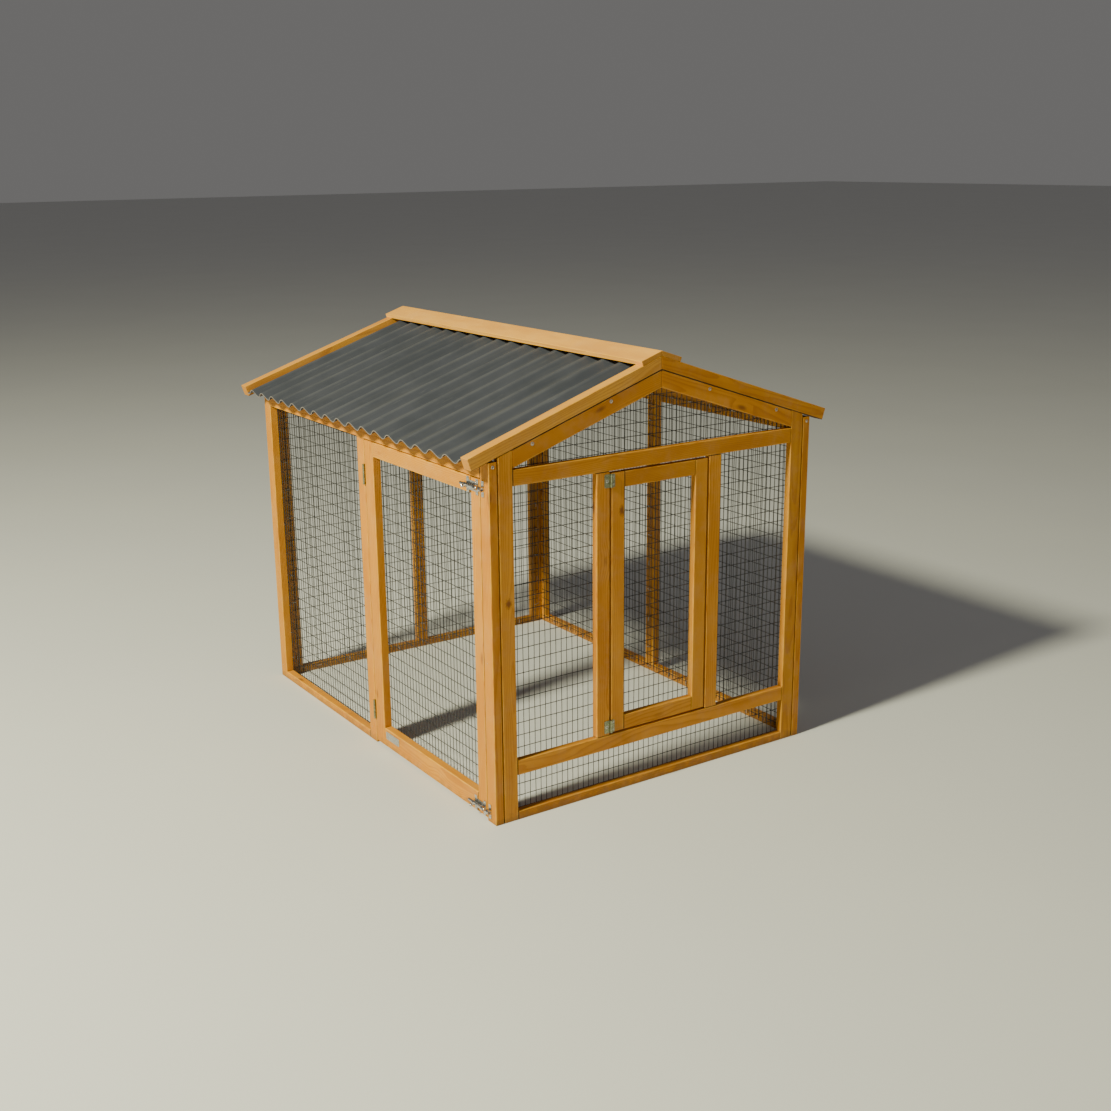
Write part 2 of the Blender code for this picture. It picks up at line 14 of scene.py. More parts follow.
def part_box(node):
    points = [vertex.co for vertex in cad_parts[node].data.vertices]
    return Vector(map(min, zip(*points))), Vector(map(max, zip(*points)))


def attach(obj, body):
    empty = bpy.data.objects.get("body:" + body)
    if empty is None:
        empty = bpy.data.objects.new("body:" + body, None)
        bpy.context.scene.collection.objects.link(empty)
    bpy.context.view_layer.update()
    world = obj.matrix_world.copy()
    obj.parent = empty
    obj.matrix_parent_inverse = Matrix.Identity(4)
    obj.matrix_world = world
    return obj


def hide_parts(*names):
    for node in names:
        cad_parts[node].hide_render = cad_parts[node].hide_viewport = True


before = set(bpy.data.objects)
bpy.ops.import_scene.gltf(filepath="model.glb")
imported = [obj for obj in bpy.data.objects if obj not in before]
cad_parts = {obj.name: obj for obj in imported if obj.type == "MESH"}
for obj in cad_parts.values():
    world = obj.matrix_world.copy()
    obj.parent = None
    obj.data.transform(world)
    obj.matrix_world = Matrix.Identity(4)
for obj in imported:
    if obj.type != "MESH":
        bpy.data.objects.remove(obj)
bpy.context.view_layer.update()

# Shape of the roof
PITCH = math.radians(18.6)
SIN, COS = math.sin(PITCH), math.cos(PITCH)
WAVE_PITCH = 0.057
WAVE_HEIGHT = 0.0125
SHEET_THICKNESS = 0.0015
SHEET_SAG = 0.00042  # how far a sheet strays from its true wave
SHEET_LIP = 0.0013  # the last row of a sheet's faces, down at its cut rim
WAVE_STEPS = 26  # faces to a wave, and rows down a sheet
RIDGE_BOARD = 0.0095  # its thickness
MITRE_GAP = 0.0002  # from each ridge board's mitre to the ridge line

# Welded wire
WIRE_RADIUS = 0.00072
UPRIGHT_PITCH = 0.0127
CROSS_PITCH = 0.0254
WIRE_SIDES = 6
WIRE_STEPS = 30
SLACK = 0.0009  # how far a panel bellies inwards between its staples
KINK = 0.00030  # how far a wire wanders in the panel's own plane
DOORWAY_LAP = 0.010  # how far the gable's wire runs onto the sticks round the small door

# Staples
STAPLE_WIDTH = 0.011
STAPLE_SPACING = 0.070
STAPLE_WIRE = (0.0013, 0.0007)  # its width and thickness
STAPLE_CROWN = 4.42 * WIRE_RADIUS  # the underside of its bridge above the wood
STAPLE_DEPTH = 0.0012  # how far its legs are driven in
STAPLE_INSET = 0.004  # from the edge of its panel
STAPLE_ROW = 0.97  # share of a board's length that its row takes up
STAPLE_STRAY = 0.006  # how far one strays along its row
STAPLE_TILT = 0.25  # the most that one is turned, in radians
STAPLES_ALONG = 0.35  # share of them that lie along the stick

# Screws: the radii of their heads, and where they sit
SCREW_HEAD = 0.0036
POST_HEAD = 0.0032
PLATE_HEAD = 0.0026
BOLT_HEAD = 0.0024
SMALL_HEAD = 0.0020
BRAD_HEAD = 0.0011
PROUD = 0.0002  # a head's rim off the face it sits on
FLUSH = 0.0001  # the same for brads and rivets, and the small plate's gap
RAFTER_SCREWS = (0.121, 0.300)  # from the ridge line
RAFTER_SCREW_DROP = 0.0082  # below a rafter's upper edge
POST_SCREW_DROP = 0.009
BRAD_HEIGHTS = (0.030, 0.330, 0.655)
BRAD_SHIFT = 0.004  # from the middle of a post
HINGE_LEAF = 0.0009  # its thickness
HINGE_SCREW_INSETS = (0.0060, 0.0032)  # from the far edge of a fixed leaf and of a moving one
HINGE_SCREW_RISE = 0.0075
BOLT_PLATE = 0.0012
BOLT_SCREW_INSETS = (0.0045, 0.0040)  # from a plate's ends, and from its long edges

# Bolt rods: each taper as its length and the share of the radius left, and the knob
ROD_TIP = (0.0012, 0.72)
ROD_TAIL = (0.0006, 0.80)
KNOB_STEM = (0.0019, 0.0017)  # its radius at the rod and at the ball
KNOB_BALL = 0.0034

# Small plate on the side door's bottom rail
BLANK_START = 0.397  # from the front
BLANK_LENGTH = 0.060
BLANK_HEIGHTS = (0.0245, 0.0425)
BLANK_CORNER = 0.0030
BLANK_THICKNESS = 0.0009
BLANK_RIVET_INSET = 0.0065
BLANK_BEVEL = 0.0003
RIDGE_BEVEL = 0.0009

# Camera and lights
CAMERA_PLACE = (-1.7013, -2.6900, 1.2617)
CAMERA_TURN = (-33.804, 15.820, -0.542)  # azimuth, elevation and roll, in degrees
LENS = 46.28  # millimetres, on a sensor 36 wide
FLOOR_REACH = 40.0
SKY = (1.0, 0.98, 0.96, 1.0)
SKY_STRENGTH = 0.15
# Place, width, watts and colour
KEY_LIGHT = ((-4.5, -0.78, 3.85), 0.7, 640, (1.0, 0.985, 0.70))
FILL_LIGHT = ((1.2, -4.6, 2.2), 3.0, 9, (1.0, 0.95, 0.86))

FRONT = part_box("front_left_stile")[0].y


# Node trees


class Nodes:
    """Adds nodes to a tree. Each call takes sockets or plain values, and gives the new node's output."""

    def __init__(self, tree):
        self.tree = tree

    def add(self, kind, inputs, output=0, **settings):
        made = self.tree.nodes.new(kind)
        for name, value in settings.items():
            setattr(made, name, value)
        for key, value in inputs.items():
            if isinstance(value, bpy.types.NodeSocket):
                self.tree.links.new(value, made.inputs[key])
            else:
                made.inputs[key].default_value = value
        return made.outputs[output]

    def math(self, operation, first, second=0.0, third=0.0):
        inputs = {0: first, 1: second, 2: third}
        return self.add("ShaderNodeMath", inputs, operation=operation)

    def vector(self, operation, first, second=(0, 0, 0), output=0):
        inputs = {0: first, 1: second}
        return self.add("ShaderNodeVectorMath", inputs, output, operation=operation)

    def scaled(self, place, scales):
        return self.vector("MULTIPLY", place, scales)

    def noise(self, place, scale=1.0, detail=2.0, roughness=0.5):
        inputs = {"Vector": place, "Scale": scale, "Detail": detail, "Roughness": roughness}
        return self.add("ShaderNodeTexNoise", inputs)

    def step(self, value, low, high, start=0.0, end=1.0):
        """Smooth change from start to end as value goes from low to high."""
        inputs = {0: value, 1: low, 2: high, 3: start, 4: end}
        return self.add("ShaderNodeMapRange", inputs, interpolation_type="SMOOTHSTEP")

    def mix(self, share, first, second, blend="MIX"):
        inputs = {0: share, 6: first, 7: second}
        return self.add("ShaderNodeMix", inputs, 2, data_type="RGBA", blend_type=blend)

    def parts(self, place):
        node = self.add("ShaderNodeSeparateXYZ", {0: place}).node
        return node.outputs[0], node.outputs[1], node.outputs[2]

    def joined(self, x, y, z):
        return self.add("ShaderNodeCombineXYZ", {0: x, 1: y, 2: z})

    def group(self, name, inputs):
        """The outputs, by name, of a placed copy of a shared effect."""
        made = self.tree.nodes.new("ShaderNodeGroup")
        made.node_tree = bpy.data.node_groups[name]
        for key, value in inputs.items():
            if isinstance(value, bpy.types.NodeSocket):
                self.tree.links.new(value, made.inputs[key])
            else:
                made.inputs[key].default_value = value
        return made.outputs

    def bump(self, height, distance, strength=1.0, normal=None):
        inputs = {"Height": height, "Distance": distance, "Strength": strength}
        if normal is not None:
            inputs["Normal"] = normal
        return self.add("ShaderNodeBump", inputs)


KINDS = {"vector": "NodeSocketVector", "value": "NodeSocketFloat"}


def effect(name, takes, gives):
    """A new shared effect: its nodes, its inputs by name, and a function that sets its outputs."""
    tree = bpy.data.node_groups.new(name, "ShaderNodeTree")
    for label, kind in takes.items():
        tree.interface.new_socket(name=label, in_out="INPUT", socket_type=KINDS[kind])
    for label in gives:
        tree.interface.new_socket(name=label, in_out="OUTPUT", socket_type=KINDS["value"])
    taken = tree.nodes.new("NodeGroupInput").outputs
    given = tree.nodes.new("NodeGroupOutput").inputs

    def finish(**sockets):
        for label, socket in sockets.items():
            tree.links.new(socket, given[label.replace("_", " ")])

    return Nodes(tree), taken, finish


def make_pine():
    """Softwood in a board's own space, where X runs along the grain.

    Growth rings are cylinders about a pith line beside the board, bent by slow noise and round knots.
    Late wood is the dark end of each ring, and fibre is noise drawn out along X.
    """
    takes = {"Place": "vector", "Pith Y": "value", "Pith Z": "value", "Ring": "value"}
    n, taken, finish = effect("pine", takes, ("late wood", "fibre", "knot", "stain", "height"))
    place = taken["Place"]
    cell = n.scaled(place, (9.0, 24.0, 24.0))
    near = n.add("ShaderNodeTexVoronoi", {"Vector": cell, "Scale": 1.0, "Randomness": 0.9})
    pick = n.parts(near.node.outputs["Color"])[0]
    chosen = n.step(pick, 0.70, 0.74)
    knot = n.math("MULTIPLY", n.step(near, 0.17, 0.03), chosen)
    halo = n.math("MULTIPLY", n.step(near, 0.45, 0.10), chosen)
    y, z = n.parts(place)[1:]
    slow = n.noise(n.scaled(place, (2.2, 14.0, 14.0)), 1.0, 2.0, 0.5)
    fine = n.noise(n.scaled(place, (9.0, 90.0, 90.0)), 1.0, 2.0, 0.6)
    across_y = n.math("SUBTRACT", y, taken["Pith Y"])
    across_z = n.math("SUBTRACT", z, taken["Pith Z"])
    radius = n.vector("LENGTH", n.joined(0.0, across_y, across_z), output=1)
    bent = n.math("MULTIPLY_ADD", slow, 0.030, radius)
    bent = n.math("MULTIPLY_ADD", fine, 0.0016, bent)
    bent = n.math("MULTIPLY_ADD", halo, 0.0045, bent)
    turns = n.math("DIVIDE", bent, taken["Ring"])
    share = n.math("FRACT", turns)
    late = n.math("MULTIPLY", n.step(share, 0.35, 0.88), n.step(share, 1.0, 0.93))
    fibre = n.noise(n.scaled(place, (14.0, 900.0, 900.0)), 1.0, 3.0, 0.65)
    stain = n.noise(n.scaled(place, (5.0, 22.0, 22.0)), 1.0, 3.0, 0.6)
    height = n.math("MULTIPLY_ADD", fibre, 0.6, n.math("MULTIPLY", late, 0.5))
    finish(late_wood=late, fibre=fibre, knot=knot, stain=stain, height=height)


def make_arris():
    """Edges of a stick, in its own space from its middle: worn is 1 on an arris and 0 a little way in.

    The pale arris that worn gives is rubbed wear together with a painted edge highlight.

    The way in is the distances from the two nearest long sides, added. Seam is the shadow gap where
    another stick butts against it: at its ends if Ends is 1, and along the side that Side points to.
    """
    takes = {"Place": "vector", "Half Size": "vector"}
    takes.update({"Reach": "value", "Ends": "value", "Side": "value"})
    n, taken, finish = effect("arris", takes, ("worn", "end grain", "seam"))
    inside = n.vector("SUBTRACT", taken["Half Size"], n.vector("ABSOLUTE", taken["Place"]))
    half_width = n.parts(taken["Half Size"])[1]
    width = n.parts(taken["Place"])[1]
    toward = n.math("SUBTRACT", half_width, n.math("MULTIPLY", width, taken["Side"]))
    along = n.math("MULTIPLY", n.step(toward, 0.0017, 0.0009), n.math("ABSOLUTE", taken["Side"]))
    x, y, z = n.parts(inside)
    rough = n.noise(n.scaled(taken["Place"], (30.0, 120.0, 120.0)), 1.0, 3.0, 0.6)
    reach = n.math("MULTIPLY", taken["Reach"], n.step(rough, 0.30, 0.75, 0.25, 1.5))
    long_edge = n.math("ADD", y, z)
    worn = n.step(n.math("DIVIDE", long_edge, reach), 1.0, 0.3)
    end = n.step(x, 0.0012, 0.0002)
    butt = n.math("MULTIPLY", n.step(x, 0.0016, 0.0009), taken["Ends"])
    finish(worn=worn, end_grain=end, seam=n.math("MAXIMUM", along, butt))


def make_weather():
    """What standing outdoors leaves: splashed soil near the ground, and faint dust everywhere."""
    takes = {"Place": "vector", "Soil Height": "value"}
    n, taken, finish = effect("weather", takes, ("soil", "dust"))
    z = n.parts(taken["Place"])[2]
    patches = n.noise(taken["Place"], 46.0, 4.0, 0.65)
    top = n.math("MULTIPLY", taken["Soil Height"], n.step(patches, 0.25, 0.75, 0.15, 1.6))
    soil = n.step(n.math("DIVIDE", z, top), 1.0, 0.0)
    dust = n.step(n.noise(taken["Place"], 19.0, 5.0, 0.7), 0.42, 0.72)
    finish(soil=soil, dust=dust)


def make_plating():
    """Zinc plate: a spangle of small cells, fine drawn lines, and dull spots."""
    takes = {"Place": "vector", "Spangle": "value"}
    n, taken, finish = effect("plating", takes, ("spangle", "drawn", "dull"))
    cells = n.add("ShaderNodeTexVoronoi", {"Vector": taken["Place"], "Scale": taken["Spangle"]})
    tone = n.parts(cells.node.outputs["Color"])[0]
    drawn = n.noise(n.scaled(taken["Place"], (3000.0, 160.0, 3000.0)), 1.0, 2.0, 0.6)
    dull = n.step(n.noise(taken["Place"], 260.0, 4.0, 0.65), 0.48, 0.70)
    finish(spangle=tone, drawn=drawn, dull=dull)


def new_material(name, metallic=0.0, coat=0.0):
    """A new material, with its node tree, its place in object space and its shader."""
    made = bpy.data.materials.new(name)
    made.use_nodes = True
    shader = made.node_tree.nodes["Principled BSDF"]
    shader.inputs["Metallic"].default_value = metallic
    shader.inputs["Coat Weight"].default_value = coat
    n = Nodes(made.node_tree)
    place = n.add("ShaderNodeTexCoord", {}, "Object")
    return made, n, place, shader


def connect(n, shader, **sockets):
    """Links each socket to the shader's input of that name."""
    for label, socket in sockets.items():
        n.tree.links.new(socket, shader.inputs[label.replace("_", " ")])


EARLY_WOOD = np.array((0.62, 0.256, 0.015))
LATE_WOOD = np.array((0.36, 0.108, 0.008))
WORN_AND_LIT_WOOD = np.array((0.76, 0.390, 0.036))
KNOT_WOOD = np.array((0.20, 0.058, 0.008))
END_WOOD = np.array((0.40, 0.158, 0.014))
SEAM_SHADE = (0.022, 0.008, 0.002, 1.0)
SOIL = (0.10, 0.072, 0.042, 1.0)


def rgba(colour):
    """The colour with an alpha of 1."""
    return (*(float(value) for value in colour), 1.0)


# Painted sunlight: boards made paler so they look sunlit, as factors on its colour
PAINTED_SUNLIGHT = {"ridge_board": (1.36, 1.72, 5.2), "left_barge_board": (1.14, 1.30, 2.6)}
# Which boards butt against others: at their ends, and along one side, as the sign of its direction
BUTTING = {"rail": (1, 0), "mullion": (1, 0), "rafter": (1, 1), "barge_board": (0, -1)}
# Knots that show on a face: their height, how far across the board they lie, and their radius
KNOTS = {
    "front_left_stile": (0.4463, 0.002, 0.0098),
    "front_door_hinge_stile": (0.588, 0.0100, 0.0110),
}


def lone_knot(n, board, x, y, radius):
    """Mask of a knot at one place on a board, softened and a little ragged at its rim."""
    ragged = n.step(n.noise(board, 260.0, 2.0, 0.6), 0.2, 0.8, 0.75, 1.3)
    apart = n.vector("SUBTRACT", board, (x, y, 0.0))
    apart = n.vector("LENGTH", n.scaled(apart, (0.75, 1.0, 0.0)), output=1)
    return n.step(n.math("DIVIDE", apart, n.math("MULTIPLY", ragged, radius)), 1.0, 0.2)


def stained_pine(name, axes, middle, half, rng):
    """Honey-stained pine for one board. axes are its length, width and depth directions."""
    made, n, place, shader = new_material(f"pine_{name}")
    turn = Matrix([list(axis) for axis in axes])
    inputs = {
        "Vector": place,
        "Rotation": turn.to_euler("XYZ"),
        "Location": [-float(value) for value in middle],
    }
    board = n.add("ShaderNodeMapping", inputs)
    shift = [float(value) for value in rng.uniform(-9, 9, 3)]
    tone = rng.uniform(0.90, 1.08)
    warmth = rng.uniform(0.96, 1.04)
    tint = np.array((1.0, warmth, warmth * warmth)) * tone
    # Painted sunlight on the ridge cap's boards and the left barge board
    for kind, factors in PAINTED_SUNLIGHT.items():
        if kind in name:
            tint *= factors
    pith = rng.uniform(0.025, 0.075)
    angle = rng.uniform(0, 2 * math.pi)
    log = n.vector("ADD", board, shift)
    inputs = {
        "Place": log,
        "Pith Y": shift[1] + pith * math.cos(angle),
        "Pith Z": shift[2] + pith * math.sin(angle),
        "Ring": rng.uniform(0.0026, 0.0044),
    }
    pine = n.group("pine", inputs)
    half_size = [float(value) for value in half]
    ends, side = next((value for key, value in BUTTING.items() if name.endswith(key)), (0, 0))
    up = 1 if axes[1][2] > 0 else -1
    inputs = {"Place": board, "Half Size": half_size, "Reach": 0.0030}
    inputs.update({"Ends": ends, "Side": side * up})
    arris = n.group("arris", inputs)
    weather = n.group("weather", {"Place": place, "Soil Height": 0.022})
    late = n.math("MULTIPLY", pine["late wood"], n.step(pine["fibre"], 0.2, 0.7, 0.30, 0.62))
    colour = n.mix(late, rgba(EARLY_WOOD * tint), rgba(LATE_WOOD * tint))
    fibre = n.step(pine["fibre"], 0.30, 0.70)
    colour = n.mix(n.math("MULTIPLY", fibre, 0.22), colour, rgba(EARLY_WOOD * tint * 1.25))
    blotch = n.step(pine["stain"], 0.35, 0.70, 0.0, 0.42)
    colour = n.mix(blotch, colour, rgba(LATE_WOOD * tint * (1.15, 1.2, 1.1)))
    colour = n.mix(n.math("MULTIPLY", pine["knot"], 0.80), colour, rgba(KNOT_WOOD))
    if name in KNOTS:
        along, across, radius = KNOTS[name]
        lone = lone_knot(n, board, along - middle[0], across, radius)
        colour = n.mix(n.math("MULTIPLY", lone, 0.90), colour, rgba(KNOT_WOOD))
    # Pale arrises: rubbed wear, and a painted highlight along the edges
    colour = n.mix(n.math("MULTIPLY", arris["worn"], 0.55), colour, rgba(WORN_AND_LIT_WOOD * tone))
    colour = n.mix(n.math("MULTIPLY", arris["end grain"], 0.60), colour, rgba(END_WOOD))
    # Painted shade in the gaps where one stick butts against another
    colour = n.mix(n.math("MULTIPLY", arris["seam"], 0.86), colour, SEAM_SHADE)
    colour = n.mix(n.math("MULTIPLY", weather["soil"], 0.45), colour, SOIL)
    colour = n.mix(n.math("MULTIPLY", weather["dust"], 0.06), colour, (0.62, 0.56, 0.46, 1.0))
    gloss = n.math("MULTIPLY_ADD", fibre, 0.14, 0.50)
    shader.inputs["Specular IOR Level"].default_value = 0.24
    gloss = n.math("MULTIPLY_ADD", weather["soil"], 0.25, gloss)
    normal = n.bump(pine["height"], 0.00022, 0.7)
    connect(n, shader, Base_Color=colour, Roughness=gloss, Normal=normal)
    return made


def roof_plastic():
    """Dark grey roof sheet: matt, finely grained, paler on its crests, dusty in its valleys.

    The pale crests are partly rubbed wear and partly a painted highlight; the pale cut rim is a painted
    highlight.
    """
    made, n, place, shader = new_material("roof_plastic")
    crest = n.add("ShaderNodeAttribute", {}, "Fac", attribute_name="crest")
    rim = n.add("ShaderNodeAttribute", {}, "Fac", attribute_name="rim")
    grain = n.noise(place, 1500.0, 3.0, 0.7)
    cloud = n.noise(place, 9.0, 4.0, 0.6)
    streak = n.noise(n.scaled(place, (5.0, 150.0, 5.0)), 1.0, 4.0, 0.6)
    scratch = n.step(n.noise(n.scaled(place, (9.0, 420.0, 30.0)), 1.0, 3.0, 0.7), 0.66, 0.72)
    colour = n.mix(n.step(cloud, 0.3, 0.7), (0.034, 0.038, 0.052, 1.0), (0.044, 0.048, 0.066, 1.0))
    colour = n.mix(n.step(streak, 0.45, 0.75, 0.0, 0.35), colour, (0.068, 0.069, 0.073, 1.0))
    # Paler crests: rubbed wear, and a painted highlight along each crest
    worn = n.math("MULTIPLY", n.step(crest, 0.80, 1.0), n.step(cloud, 0.25, 0.6, 0.08, 0.30))
    colour = n.mix(worn, colour, (0.12, 0.12, 0.125, 1.0))
    silt = n.math("MULTIPLY", n.step(crest, 0.25, 0.0), n.step(streak, 0.4, 0.6, 0.05, 0.32))
    colour = n.mix(silt, colour, (0.13, 0.12, 0.10, 1.0))
    colour = n.mix(n.math("MULTIPLY", scratch, 0.22), colour, (0.25, 0.25, 0.26, 1.0))
    # Painted highlight: a pale line on the cut rim, where the sheet's edge catches the light
    colour = n.mix(n.math("MULTIPLY", rim, 0.60), colour, (0.34, 0.30, 0.27, 1.0))
    colour = n.mix(n.step(grain, 0.2, 0.8, 0.0, 0.16), colour, (0.085, 0.085, 0.09, 1.0))
    shader.inputs["Specular IOR Level"].default_value = 0.30
    gloss = n.step(cloud, 0.3, 0.7, 0.52, 0.62)
    normal = n.bump(grain, 0.00012, 0.5)
    connect(n, shader, Base_Color=colour, Roughness=gloss, Normal=normal)
    return made


def coated_wire():
    """Black coated wire, glossy, with the coat chalked and rubbed off in places."""
    made, n, place, shader = new_material("coated_wire")
    patch = n.step(n.noise(place, 60.0, 4.0, 0.7), 0.50, 0.72)
    speck = n.step(n.noise(place, 900.0, 2.0, 0.6), 0.60, 0.70)
    chalky = n.math("MULTIPLY", patch, 0.5)
    colour = n.mix(chalky, (0.024, 0.023, 0.022, 1.0), (0.055, 0.052, 0.049, 1.0))
    colour = n.mix(n.math("MULTIPLY", speck, 0.35), colour, (0.16, 0.16, 0.15, 1.0))
    gloss = n.step(patch, 0.0, 1.0, 0.22, 0.38)
    normal = n.bump(n.noise(place, 1400.0, 2.0, 0.5), 0.00008, 0.5)
    connect(n, shader, Base_Color=colour, Roughness=gloss, Normal=normal)
    return made


def zinc(name, light, dark, roughness, spangle):
    """Zinc-plated steel, from its two tones, its roughness and its spangles per metre."""
    made, n, place, shader = new_material(name, metallic=1.0)
    plate = n.group("plating", {"Place": place, "Spangle": spangle})
    weather = n.group("weather", {"Place": place, "Soil Height": 0.012})
    colour = n.mix(plate["spangle"], rgba(light), rgba(dark))
    colour = n.mix(n.math("MULTIPLY", plate["dull"], 0.45), colour, rgba(np.array(dark) * 0.62))
    gloss = n.math("MULTIPLY_ADD", plate["drawn"], 0.16, roughness)
    gloss = n.math("MULTIPLY_ADD", plate["dull"], 0.14, gloss)
    gloss = n.math("MULTIPLY_ADD", weather["dust"], 0.05, gloss)
    normal = n.bump(plate["drawn"], 0.00003, 0.6)
    connect(n, shader, Base_Color=colour, Roughness=gloss, Normal=normal)
    return made


# Meshes


def add_mesh(name, points, faces, material, body, replaced=(), smooth=False, values=None):
    """A new piece from its points and its faces, of three or more corners each."""
    mesh = bpy.data.meshes.new(name)
    mesh.from_pydata(np.asarray(points, float).reshape(-1, 3).tolist(), [], faces)
    for label, numbers in (values or {}).items():
        attribute = mesh.attributes.new(label, "FLOAT", "POINT")
        attribute.data.foreach_set("value", np.asarray(numbers, np.float32).ravel())
    mesh.validate()
    if smooth:
        mesh.shade_smooth()
        mesh.set_sharp_from_angle(angle=math.radians(42))
    mesh.materials.append(material)
    made = bpy.data.objects.new(name, mesh)
    bpy.context.scene.collection.objects.link(made)
    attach(made, body)
    if replaced:
        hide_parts(*replaced)
    return made


def tube_faces(count, rings, sides):
    """Faces of count closed tubes, each of so many rings of so many points, capped at both ends."""
    tube = np.arange(count)[:, None, None] * rings * sides
    ring = np.arange(rings - 1)[None, :, None] * sides
    side = np.arange(sides)[None, None, :]
    following = (side + 1) % sides
    corners = (ring + side, ring + following, ring + sides + following, ring + sides + side)
    walls = np.stack(np.broadcast_arrays(*(tube + corner for corner in corners)), -1)
    faces = walls.reshape(-1, 4).tolist()
    first = np.arange(count)[:, None] * rings * sides + np.arange(sides)[::-1]
    last = np.arange(count)[:, None] * rings * sides + (rings - 1) * sides + np.arange(sides)
    return faces + first.tolist() + last.tolist()


def tubes(lines, across, outward, radius, sides):
    """Points of round tubes along nearly straight lines.

    lines is an array of count x rings x 3. A point is its line's point, plus radius times the cosine
    of its angle across and the sine of it outward.
    """
    angle = 2 * math.pi * np.arange(sides) / sides
    ring = np.cos(angle)[:, None] * across + np.sin(angle)[:, None] * outward
    return lines[:, :, None, :] + radius * ring[None, None]


class Panel:
    """The plane of a wire panel: u runs along the wall, v is height, and inward is its normal."""

    def __init__(self, along, inward, depth, seed):
        self.along = np.array(along, float)
        self.inward = np.array(inward, float)
        self.depth = depth
        self.phases = np.random.default_rng(seed).uniform(0, 2 * math.pi, 4)

    def place(self, u, v, layer=0.0):
        """Points of the bellied panel, moved inwards by half of SLACK x (1 + a sum of crossed sines)."""
        a, b, c, d = self.phases
        broad = np.sin(11 * u + a) * np.sin(8 * v + b)
        narrow = np.sin(23 * u + c) * np.sin(19 * v + d)
        rise = SLACK * (1 + broad * 0.6 + narrow * 0.4) / 2 + layer + self.depth
        flat = u[..., None] * self.along + v[..., None] * np.array((0, 0, 1.0))
        return flat + rise[..., None] * self.inward


def spans(low, high, gap):
    """One run of wire, or the two that a doorway leaves of it."""
    if gap is None:
        return [(low, high)]
    return [run for run in ((low, gap[0]), (gap[1], high)) if run[1] - run[0] > CROSS_PITCH / 4]


def wire_panel(node, body, panel, low, high, top=None, hole=None):
    """Welded wire over a panel's outline, from its low to its high corner in u and v.

    top gives the height of the outline at a distance along it, where that isn't level. hole is the
    doorway, as two corners. Uprights and cross wires lie in two layers that sink into each other.
    """
    rng = np.random.default_rng(sum(node.encode()))
    top = top or (lambda u: high[1])
    width = high[0] - low[0]
    count = int(width / UPRIGHT_PITCH)
    first = low[0] + (width - (count - 1) * UPRIGHT_PITCH) / 2
    share = np.linspace(0, 1, WIRE_STEPS)
    uprights = []
    for u in first + UPRIGHT_PITCH * np.arange(count):
        gap = (hole[0][1], hole[1][1]) if hole and hole[0][0] < u < hole[1][0] else None
        for start, end in spans(low[1], top(u), gap):
            v = start + (end - start) * share
            wander = KINK * np.sin(v * rng.uniform(18, 40) + rng.uniform(0, 7))
            uprights.append(panel.place(u + wander, v))
    crosses = []
    for v in np.arange(low[1] + CROSS_PITCH / 3, top((low[0] + high[0]) / 2), CROSS_PITCH):
        inside = [u for u in np.linspace(low[0], high[0], 400) if top(u) >= v]
        if not inside:
            continue
        gap = (hole[0][0], hole[1][0]) if hole and hole[0][1] < v < hole[1][1] else None
        for start, end in spans(inside[0], inside[-1], gap):
            u = start + (end - start) * share
            wander = KINK * np.sin(u * rng.uniform(18, 40) + rng.uniform(0, 7))
            crosses.append(panel.place(u, v + wander, 1.7 * WIRE_RADIUS))
    upward = np.array((0, 0, 1.0))
    up_points = tubes(np.array(uprights), panel.along, panel.inward, WIRE_RADIUS, WIRE_SIDES)
    cross_points = tubes(np.array(crosses), panel.inward, upward, WIRE_RADIUS, WIRE_SIDES)
    points = np.concatenate([up_points, cross_points]).reshape(-1, 3)
    faces = tube_faces(len(points) // (WIRE_STEPS * WIRE_SIDES), WIRE_STEPS, WIRE_SIDES)
    if np.cross(panel.along, panel.inward) @ upward < 0:
        faces = [face[::-1] for face in faces]
    return add_mesh(f"{node}_wires", points, faces, MATERIALS["wire"], body, [node], smooth=True)


def staple_points():
    """One staple: a flat wire bent to a bridge over X, with Z off the wood. Rings of four corners."""
    half = STAPLE_WIDTH / 2
    wide, thick = STAPLE_WIRE
    shoulder, bend = STAPLE_CROWN * 0.6, 0.0006
    inner = [(-half, -STAPLE_DEPTH), (-half, shoulder), (-half + bend, STAPLE_CROWN)]
    inner += [(-x, z) for x, z in reversed(inner)]
    inner = np.array(inner)
    lean = np.array([(-1, 0), (-1, 0.4), (-0.5, 1), (0.5, 1), (1, 0.4), (1, 0)])
    outer = inner + lean * thick
    corners = ((inner, 1), (outer, 1), (outer, -1), (inner, -1))
    rings = [np.insert(path, 1, side * wide / 2, axis=1) for path, side in corners]
    return np.stack(rings, axis=1)


def staples(name, body, places):
    """Staples at places, each a point on the wood, the way off it and the way of its bridge."""
    one = staple_points()
    rings, sides = one.shape[:2]
    every = []
    for point, off, bridge in places:
        off, bridge = np.array(off, float), np.array(bridge, float)
        other = np.cross(off, bridge)
        every.append(one.reshape(-1, 3) @ np.array([bridge, other, off]) + np.array(point))
    faces = tube_faces(len(every), rings, sides)
    return add_mesh(name, np.array(every), faces, MATERIALS["staple"], body)


